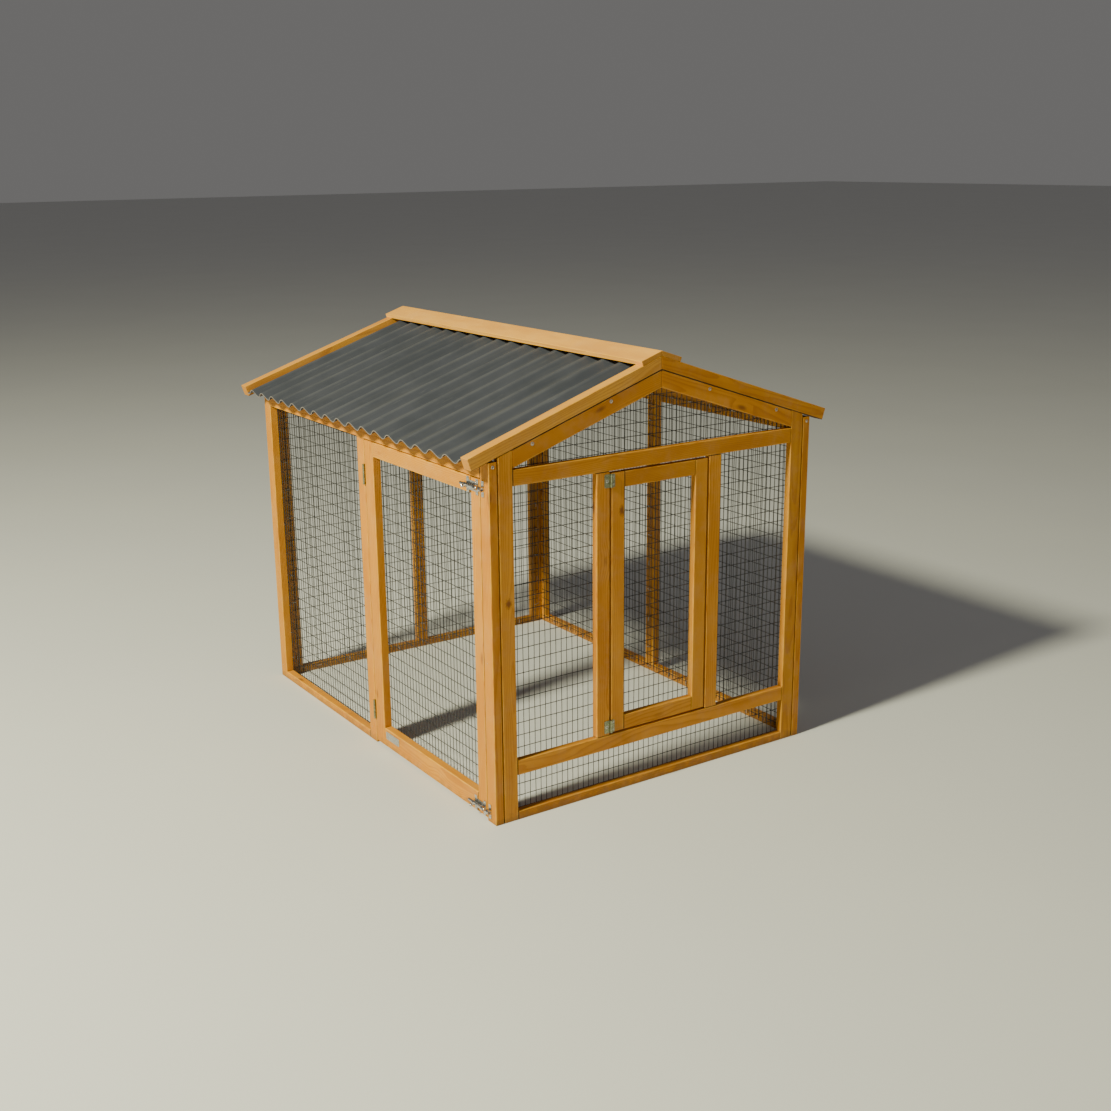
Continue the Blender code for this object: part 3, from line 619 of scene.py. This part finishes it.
def screw_points(radius):
    """A countersunk head about Z with a cross recess, seated with its rim at Z = 0.

    It is a grid of rings and angles. Its rise is a tenth of 1 - the square of the distance from its
    middle, and within the recess, where the lesser of |x| and |y| is small, it drops to a flat floor.
    The last ring goes down into the wood.
    """
    sides, rings = 24, np.array([0.16, 0.20, 0.40, 0.55, 0.60, 0.80, 0.95, 1.0, 1.0])
    angle = 2 * math.pi * np.arange(sides) / sides
    x = rings[:, None] * np.cos(angle)
    y = rings[:, None] * np.sin(angle)
    slot = np.minimum(abs(x), abs(y)) < 0.115
    reach = np.maximum(abs(x), abs(y)) < 0.58
    rise = np.where(slot & reach, -0.30, 0.10 * (1 - rings[:, None] ** 2))
    rise[-1] = -0.5
    return np.stack([x, y, rise], -1) * radius


def crossways(direction):
    """Two directions across the given one, that make a right-handed set with it in the order given."""
    helper = np.array((0, 0, 1.0)) if abs(direction[2]) < 0.8 else np.array((1.0, 0, 0))
    across = np.cross(helper, direction)
    across /= np.linalg.norm(across)
    return across, np.cross(direction, across)


def screws(name, body, places, radius, proud=PROUD):
    """Screw heads at the given places, each a point on the face and the way off it."""
    one = screw_points(radius)
    rings, sides = one.shape[:2]
    rng = np.random.default_rng(len(name))
    every = []
    for point, off in places:
        off = np.array(off, float)
        across, other = crossways(off)
        turn = rng.uniform(0, math.pi / 2)
        side = math.cos(turn) * across + math.sin(turn) * other
        axes = np.array([side, np.cross(off, side), off])
        every.append(one.reshape(-1, 3) @ axes + np.array(point) + proud * off)
    faces = [face[::-1] for face in tube_faces(len(every), rings, sides)]
    return add_mesh(name, np.array(every), faces, MATERIALS["screw"], body, smooth=True)


def carried(name, outline, axis, start, end, material, body, bevel, replaced=()):
    """An outline, given anticlockwise in the two axes after the named one, carried along that axis."""
    order = {"X": (1, 2, 0), "Y": (2, 0, 1), "Z": (0, 1, 2)}[axis]
    flat = np.array(outline, float)
    ends = [np.column_stack([flat, np.full(len(flat), value)]) for value in (start, end)]
    points = np.zeros((2 * len(flat), 3))
    points[:, order] = np.concatenate(ends)
    faces = tube_faces(1, 2, len(flat))
    made = add_mesh(name, points, faces, material, body, replaced)
    edge = made.modifiers.new("bevel", "BEVEL")
    edge.width = bevel
    edge.segments = 2
    edge.limit_method = "ANGLE"
    return made


def turned(name, profile, start, direction, material, body, replaced=(), sides=32):
    """A profile of (distance along, radius) points turned about a line from start, and capped."""
    direction = np.array(direction, float)
    across, other = crossways(direction)
    profile = np.array(profile, float)
    angle = 2 * math.pi * np.arange(sides) / sides
    ring = np.cos(angle)[:, None] * across + np.sin(angle)[:, None] * other
    along = profile[:, 0][:, None, None] * direction
    points = np.array(start) + along + profile[:, 1][:, None, None] * ring
    faces = tube_faces(1, len(profile), sides)
    return add_mesh(name, points, faces, material, body, replaced, smooth=True)


MATERIALS = {}


def build_materials():
    """Makes the shared effects, then every material but the boards'."""
    make_pine()
    make_arris()
    make_weather()
    make_plating()
    MATERIALS["sheet"] = roof_plastic()
    MATERIALS["wire"] = coated_wire()
    MATERIALS["bolt"] = zinc("bright_zinc", (0.74, 0.74, 0.74), (0.46, 0.47, 0.48), 0.13, 420.0)
    MATERIALS["hinge"] = zinc("passivated_zinc", (0.40, 0.42, 0.27), (0.22, 0.235, 0.14), 0.32, 520.0)
    MATERIALS["screw"] = zinc("screw_zinc", (0.70, 0.69, 0.64), (0.46, 0.46, 0.42), 0.28, 900.0)
    MATERIALS["staple"] = zinc("staple_zinc", (0.58, 0.58, 0.56), (0.40, 0.40, 0.39), 0.30, 900.0)
    MATERIALS["blank"] = zinc("galvanised_plate", (0.62, 0.65, 0.66), (0.44, 0.47, 0.48), 0.34, 260.0)


# Boards

DOWN_SLOPE = {"left": Vector((-COS, 0, -SIN)), "right": Vector((COS, 0, -SIN))}
UNITS = [Vector((1, 0, 0)), Vector((0, 1, 0)), Vector((0, 0, 1))]


def board_axes(name, low, high):
    """A board's length, width and depth directions: down its slope for the roof's, else its box's."""
    if "rafter" in name or "barge_board" in name:
        length = DOWN_SLOPE["left" if "left" in name else "right"]
        depth = UNITS[1]
    else:
        sizes = sorted(range(3), key=lambda axis: high[axis] - low[axis])
        length, depth = UNITS[sizes[2]], UNITS[sizes[0]]
    return length, depth.cross(length), depth


def finish_boards():
    """Gives every wooden node its own board material, cut from its own part of a log."""
    rng = np.random.default_rng(11)
    endings = ("post", "rail", "stile", "rafter", "mullion", "barge_board")
    for name in sorted(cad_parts):
        if name.endswith(endings):
            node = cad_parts[name]
            axes = board_axes(name, *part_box(name))
            paint(node, axes, rng)


def paint(node, axes, rng):
    """Gives a board its own pine, laid along its length and centred on its box."""
    points = np.array([vertex.co for vertex in node.data.vertices])
    own = points @ np.array([list(axis) for axis in axes]).T
    low, high = own.min(0), own.max(0)
    node.data.materials.clear()
    node.data.materials.append(stained_pine(node.name, axes, (low + high) / 2, (high - low) / 2, rng))


def ridge_boards():
    """The cap's two boards, which meet on a mitre over the ridge."""
    low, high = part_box("ridge_cap")
    edge = high.z - high.x * SIN / COS
    rng = np.random.default_rng(5)
    for label, side in (("left", -1), ("right", 1)):
        # The outline's points are given as Z and X, anticlockwise for the right board.
        outline = [
            (high.z, side * MITRE_GAP),
            (edge, side * high.x),
            (edge - RIDGE_BOARD * COS, side * (high.x - RIDGE_BOARD * SIN)),
            (high.z - RIDGE_BOARD / COS, side * MITRE_GAP),
        ]
        made = carried(f"ridge_board_{label}", outline[::side], "Y", low.y, high.y, MATERIALS["sheet"],
                       "frame", RIDGE_BEVEL, ["ridge_cap"])
        length, depth = UNITS[1], Vector((SIN * side, 0, COS))
        paint(made, (length, depth.cross(length), depth), rng)


def sheet_points(start, end, top, foot, middle, slope, normal):
    """Points of a corrugated sheet's two faces, with how near each is to a crest and to the cut rim.

    Its height over the slope is half of WAVE_HEIGHT x the cosine of 2 pi x y / WAVE_PITCH, plus a slight
    sag, the same all the way down. Each face lies half the thickness off that, square to the wave.
    """
    across = int((end - start) / WAVE_PITCH * WAVE_STEPS)
    y = np.linspace(start, end, across + 1)
    down = np.linspace(top + SHEET_LIP, foot - SHEET_LIP, WAVE_STEPS - 1)
    grid_y, grid_s = np.meshgrid(y, np.concatenate([[top], down, [foot]]), indexing="ij")
    phase = 2 * math.pi * (grid_y - start) / WAVE_PITCH
    sag = SHEET_SAG * np.sin(grid_s * 9 + 3 * np.sin(grid_y * 5)) * np.sin(grid_y * 14)
    height = middle + WAVE_HEIGHT / 2 * np.cos(phase) + sag
    tilt = -np.sin(phase) * WAVE_HEIGHT / 2 * 2 * math.pi / WAVE_PITCH
    sides = []
    for way in (1, -1):
        shift = way * SHEET_THICKNESS / 2 / np.sqrt(1 + tilt**2)
        along = (grid_y - shift * tilt)[..., None] * np.array((0, 1.0, 0))
        sides.append(grid_s[..., None] * slope + (height + shift)[..., None] * normal + along)
    # The cut rim's row, which the roof's material paints with a highlight
    rim = np.zeros(grid_y.shape)
    rim[:, -1] = 1
    return np.array(sides), (np.cos(phase) + 1) / 2, rim


def shell_faces(rows, columns):
    """Faces of a thin shell of two grids of points, one over the other, closed round their rims."""
    index = np.arange(rows * columns).reshape(rows, columns)
    corners = (index[:-1, :-1], index[1:, :-1], index[1:, 1:], index[:-1, 1:])
    quads = np.stack(corners, -1).reshape(-1, 4)
    loop = np.concatenate([index[:-1, 0], index[-1, :-1], index[:0:-1, -1], index[0, :0:-1]])
    following = np.roll(loop, -1)
    under = rows * columns
    rim = np.stack([loop, loop + under, following + under, following], -1)
    return np.concatenate([quads, quads[:, ::-1] + under, rim])


def roof_sheets():
    """Both corrugated sheets, each in the place of its CAD node."""
    for label, side in (("left", -1), ("right", 1)):
        node = f"{label}_roof_sheet"
        points = np.array([vertex.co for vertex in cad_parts[node].data.vertices])
        slope = np.array(DOWN_SLOPE[label])
        normal = np.array((side * SIN, 0, COS))
        run, rise, width = points @ slope, points @ normal, points[:, 1]
        middle = (rise.min() + rise.max()) / 2
        skin, crest, rim = sheet_points(width.min(), width.max(), run.min(), run.max(), middle,
                                        slope, normal)
        faces = shell_faces(*crest.shape)[:, ::-side]
        values = {"crest": np.tile(crest.ravel(), 2), "rim": np.tile(rim.ravel(), 2)}
        add_mesh(f"{node}_skin", skin, faces.tolist(), MATERIALS["sheet"], "frame",
                 [node], smooth=True, values=values)


# Wire


def box_of(node):
    """A node's low and high corners as arrays."""
    low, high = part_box(node)
    return np.array(low), np.array(high)


def doorway():
    """The hole in the front gable's wire for the small door, as two corners in X and Z."""
    left, right = box_of("front_left_mullion"), box_of("front_right_mullion")
    lower, upper = box_of("front_lower_rail"), box_of("front_tie_rail")
    return (
        (left[1][0] - DOORWAY_LAP, lower[1][2] - DOORWAY_LAP),
        (right[0][0] + DOORWAY_LAP, upper[0][2] + DOORWAY_LAP),
    )


def wire_panels():
    """The wire of both gables, both long walls and both doors, each in place of its CAD node."""
    for node, inward, hole in (("front_mesh", 1, doorway()), ("rear_mesh", -1, None)):
        low, high = box_of(node)
        face = low[1] if inward > 0 else high[1]
        panel = Panel((1, 0, 0), (0, inward, 0), face * inward + WIRE_RADIUS, len(node))
        rise = high[0] * SIN / COS
        wire_panel(node, "frame", panel, (low[0], low[2]), (high[0], high[2]),
                   lambda u: high[2] - rise * abs(u) / high[0], hole)
    for node, inward, body in (
        ("left_mesh", 1, "frame"),
        ("right_mesh", -1, "frame"),
        ("side_door_mesh", 1, "side_door"),
    ):
        low, high = box_of(node)
        face = low[0] if inward > 0 else high[0]
        panel = Panel((0, 1, 0), (inward, 0, 0), face * inward + WIRE_RADIUS, len(node))
        wire_panel(node, body, panel, (low[1], low[2]), (high[1], high[2]))
    low, high = box_of("front_door_mesh")
    panel = Panel((1, 0, 0), (0, 1, 0), low[1] + WIRE_RADIUS, 3)
    wire_panel("front_door_mesh", "front_door", panel, (low[0], low[2]), (high[0], high[2]))


# Walls whose boards carry wire: the way off the wood, the body, and the boards by their own names
STAPLED = {
    "front": ((0, 1, 0), "frame", (
        "left_stile", "right_stile", "left_rafter", "right_rafter", "left_mullion", "right_mullion",
        "tie_rail", "lower_rail", "base_rail")),
    "rear": ((0, -1, 0), "frame", (
        "left_stile", "right_stile", "left_rafter", "right_rafter", "middle_post", "base_rail")),
    "left": ((1, 0, 0), "frame", ("middle_post", "rear_post", "top_rail", "base_rail")),
    "right": ((-1, 0, 0), "frame", (
        "front_post", "middle_post", "rear_post", "top_rail", "base_rail")),
    "side_door": ((1, 0, 0), "side_door", (
        "hinge_stile", "latch_stile", "top_rail", "bottom_rail")),
    "front_door": ((0, 1, 0), "front_door", (
        "hinge_stile", "free_stile", "top_rail", "bottom_rail")),
}


def staple_places(name, off, low, high, rng):
    """Places of a row of staples down a board, over its middle or the nearest wire of the panel."""
    board_low, board_high = box_of(name)
    length = np.array(board_axes(name, board_low, board_high)[0])
    reach = (board_high - board_low) / 2
    sloping = abs(length).max() < 0.999
    half = np.linalg.norm(reach * (1, 0, 1)) * STAPLE_ROW if sloping else abs(reach @ abs(length))
    count = max(2, int(2 * half / STAPLE_SPACING))
    face = (board_low + board_high) / 2 + off * reach[np.argmax(abs(off))]
    places = []
    for step in range(count):
        along = ((step + 0.5) / count * 2 - 1) * half * STAPLE_ROW
        point = face + length * (along + rng.uniform(-STAPLE_STRAY, STAPLE_STRAY))
        held = np.where(off == 0, np.clip(point, low + STAPLE_INSET, high - STAPLE_INSET), point)
        moved = abs(held - point)
        if (moved > reach).any() or moved @ abs(length) > 0.001:
            continue
        tilt = rng.uniform(-STAPLE_TILT, STAPLE_TILT)
        other = np.cross(off, length)
        bridge = math.cos(tilt) * other + math.sin(tilt) * length
        if rng.uniform() < STAPLES_ALONG:
            bridge = math.cos(tilt) * length - math.sin(tilt) * other
        places.append((held, off, bridge))
    return places


def staple_rows():
    """Staples down each stick that carries wire. About a third of them lie along the stick."""
    rng = np.random.default_rng(23)
    for wall, (off, body, boards) in STAPLED.items():
        low, high = box_of(f"{wall}_mesh")
        places = []
        for board in boards:
            places += staple_places(f"{wall}_{board}", np.array(off, float), low, high, rng)
        staples(f"{wall}_staples", body, places)


# Fittings


def fittings():
    """Zinc for the bolts and the hinges that keep their CAD shapes."""
    for name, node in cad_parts.items():
        finish = "bolt" if "bolt" in name else "hinge" if "leaf" in name else None
        if finish:
            node.data.materials.clear()
            node.data.materials.append(MATERIALS[finish])


def rafter_screws():
    """Two screws in each rafter of both gables, nearer its upper edge."""
    for gable, off in (("front", -1), ("rear", 1)):
        places = []
        for label, side in (("left", -1), ("right", 1)):
            low, high = box_of(f"{gable}_{label}_rafter")
            face = low[1] if off < 0 else high[1]
            for distance in RAFTER_SCREWS:
                z = high[2] - distance * SIN / COS - RAFTER_SCREW_DROP
                places.append(((side * distance, face, z), (0, off, 0)))
        screws(f"{gable}_rafter_screws", "frame", places, SCREW_HEAD)


def post_screws():
    """A screw in the end of each outer post, near its top, and three brads down each post's face."""
    places, brads = [], []
    for label, side in (("left", -1), ("right", 1)):
        for where, off in (("front", -1), ("rear", 1)):
            low, high = box_of(f"{label}_{where}_post")
            face = low[1] if off < 0 else high[1]
            middle = (low[0] + high[0]) / 2
            places.append(((middle, face, high[2] - POST_SCREW_DROP), (0, off, 0)))
        for where in ("front", "middle", "rear"):
            low, high = box_of(f"{label}_{where}_post")
            face = low[0] if side < 0 else high[0]
            middle = (low[1] + high[1]) / 2 - side * BRAD_SHIFT
            brads += [((face, middle, z), (side, 0, 0)) for z in BRAD_HEIGHTS]
    screws("post_screws", "frame", places, POST_HEAD)
    screws("post_brads", "frame", brads, BRAD_HEAD, proud=FLUSH)


def hinge_screws():
    """One broad screw in each fixed leaf of the front hinges, and two small ones in each moving leaf."""
    fixed, moving = HINGE_SCREW_INSETS
    for where in ("lower", "upper"):
        low, high = box_of(f"front_hinge_{where}_frame_leaf")
        middle = (low[2] + high[2]) / 2
        places = [((low[0] + fixed, high[1] - HINGE_LEAF, middle), (0, -1, 0))]
        screws(f"front_hinge_{where}_frame_screw", "frame", places, SCREW_HEAD)
        low, high = box_of(f"front_hinge_{where}_door_leaf")
        middle = (low[2] + high[2]) / 2
        places = [((high[0] - moving, high[1] - HINGE_LEAF, middle + rise), (0, -1, 0))
                  for rise in (-HINGE_SCREW_RISE, HINGE_SCREW_RISE)]
        screws(f"front_hinge_{where}_door_screws", "front_door", places, SMALL_HEAD)


def bolt_rods():
    """Each bolt's round rod with a bevelled tip, and its knob: a stem that ends in most of a ball."""
    for where in ("upper", "lower"):
        node = f"{where}_bolt_rod"
        points = np.array([vertex.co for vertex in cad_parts[node].data.vertices])
        low, high = points.min(0), points.max(0)
        tip = points[points[:, 1] < low[1] + 0.0001]
        radius = np.ptp(tip[:, 2]) / 2
        x, z = high[0] - radius, (low[2] + high[2]) / 2
        knob = points[points[:, 0] < low[0] + 0.001][:, 1]
        knob = (knob.min() + knob.max()) / 2
        length = high[1] - low[1]
        rod = [(0.0, radius * ROD_TIP[1]), (ROD_TIP[0], radius)]
        rod += [(length - ROD_TAIL[0], radius), (length, radius * ROD_TAIL[1])]
        turned(f"{node}_bar", rod, (x, low[1], z), (0, 1, 0), MATERIALS["bolt"], f"{where}_bolt",
               [node])
        reach = x - low[0]
        ball = KNOB_BALL
        stem = [(0.0, KNOB_STEM[0]), (reach - 2 * ball, KNOB_STEM[1])]
        for step in range(9):
            angle = math.pi * (0.22 + 0.74 * step / 8)
            stem.append((reach - ball - ball * math.cos(angle), ball * math.sin(angle)))
        turned(f"{node}_knob", stem, (x, knob, z), (-1, 0, 0), MATERIALS["bolt"], f"{where}_bolt")


def bolt_screws():
    """A screw in each corner of a bolt's plate, and two in its keeper."""
    end_inset, edge_inset = BOLT_SCREW_INSETS
    for where in ("upper", "lower"):
        for piece, body in (("plate", "side_door"), ("keeper", "frame")):
            low, high = box_of(f"{where}_bolt_{piece}")
            middle = ((low[1] + high[1]) / 2,)
            ends = (low[1] + end_inset, high[1] - end_inset) if piece == "plate" else middle
            places = [((high[0] - BOLT_PLATE, y, z), (-1, 0, 0))
                      for y in ends for z in (low[2] + edge_inset, high[2] - edge_inset)]
            screws(f"{where}_bolt_{piece}_screws", body, places, BOLT_HEAD)


def rounded(low, high, radius, steps=6):
    """Anticlockwise outline of a rectangle with round corners."""
    points = []
    centres = ((high[0] - radius, high[1] - radius), (low[0] + radius, high[1] - radius),
               (low[0] + radius, low[1] + radius), (high[0] - radius, low[1] + radius))
    for quarter, (x, y) in enumerate(centres):
        for step in range(steps + 1):
            angle = math.pi / 2 * (quarter + step / steps)
            points.append((x + radius * math.cos(angle), y + radius * math.sin(angle)))
    return points


def blank_plate():
    """The small plain plate riveted to the side door's bottom rail."""
    face = box_of("side_door_bottom_rail")[0][0] - FLUSH
    start, end = FRONT + BLANK_START, FRONT + BLANK_START + BLANK_LENGTH
    low, high = BLANK_HEIGHTS
    outline = rounded((start, low), (end, high), BLANK_CORNER)
    carried("blank_plate", outline, "X", face - BLANK_THICKNESS, face, MATERIALS["blank"],
            "side_door", BLANK_BEVEL)
    places = [((face - BLANK_THICKNESS, y, (low + high) / 2), (-1, 0, 0))
              for y in (start + BLANK_RIVET_INSET, end - BLANK_RIVET_INSET)]
    screws("blank_plate_screws", "side_door", places, PLATE_HEAD, proud=FLUSH)


# Stage


def stage():
    """A plain pale floor."""
    signs = ((-1, -1), (1, -1), (1, 1), (-1, 1))
    corners = [(x * FLOOR_REACH, y * FLOOR_REACH, 0) for x, y in signs]
    mesh = bpy.data.meshes.new("floor")
    mesh.from_pydata(corners, [], [(0, 1, 2, 3)])
    floor = bpy.data.objects.new("floor", mesh)
    bpy.context.scene.collection.objects.link(floor)
    made, n, place, shader = new_material("floor_paint")
    tone = n.noise(place, 1.5, 3.0, 0.5)
    colour = n.mix(tone, (0.62, 0.62, 0.61, 1.0), (0.66, 0.66, 0.65, 1.0))
    connect(n, shader, Base_Color=colour)
    shader.inputs["Roughness"].default_value = 0.85
    mesh.materials.append(made)


def area_light(name, place, size, power, colour):
    """A round soft light that faces the middle of the hutch."""
    data = bpy.data.lights.new(name, "AREA")
    data.shape = "DISK"
    data.size = size
    data.energy = power
    data.color = colour
    light = bpy.data.objects.new(name, data)
    light.location = place
    light.rotation_mode = "QUATERNION"
    light.rotation_quaternion = (Vector((0, 0, 0.4)) - Vector(place)).to_track_quat("-Z", "Y")
    bpy.context.scene.collection.objects.link(light)


def studio():
    """A dim even sky, a strong warm key from the left and above, and a faint fill."""
    world = bpy.data.worlds.new("studio")
    world.use_nodes = True
    background = world.node_tree.nodes["Background"]
    background.inputs["Color"].default_value = SKY
    background.inputs["Strength"].default_value = SKY_STRENGTH
    bpy.context.scene.world = world
    area_light("key", *KEY_LIGHT)
    area_light("fill", *FILL_LIGHT)


def camera():
    """A camera from its place, and from its azimuth, elevation and roll."""
    data = bpy.data.cameras.new("camera")
    data.sensor_width = 36.0
    data.lens = LENS
    made = bpy.data.objects.new("camera", data)
    made.location = CAMERA_PLACE
    azimuth, elevation, roll = (math.radians(value) for value in CAMERA_TURN)
    level = math.cos(elevation)
    back = Vector((math.sin(azimuth) * level, -math.cos(azimuth) * level, math.sin(elevation)))
    side = Vector((0, 0, 1)).cross(back).normalized()
    right = math.cos(roll) * side + math.sin(roll) * back.cross(side)
    axes = Matrix((right, back.cross(right), back)).transposed()
    made.rotation_mode = "QUATERNION"
    made.rotation_quaternion = axes.to_quaternion()
    bpy.context.scene.collection.objects.link(made)
    bpy.context.scene.camera = made


camera()
build_materials()
finish_boards()
ridge_boards()
roof_sheets()
wire_panels()
staple_rows()
fittings()
rafter_screws()
post_screws()
hinge_screws()
bolt_rods()
bolt_screws()
blank_plate()
stage()
studio()
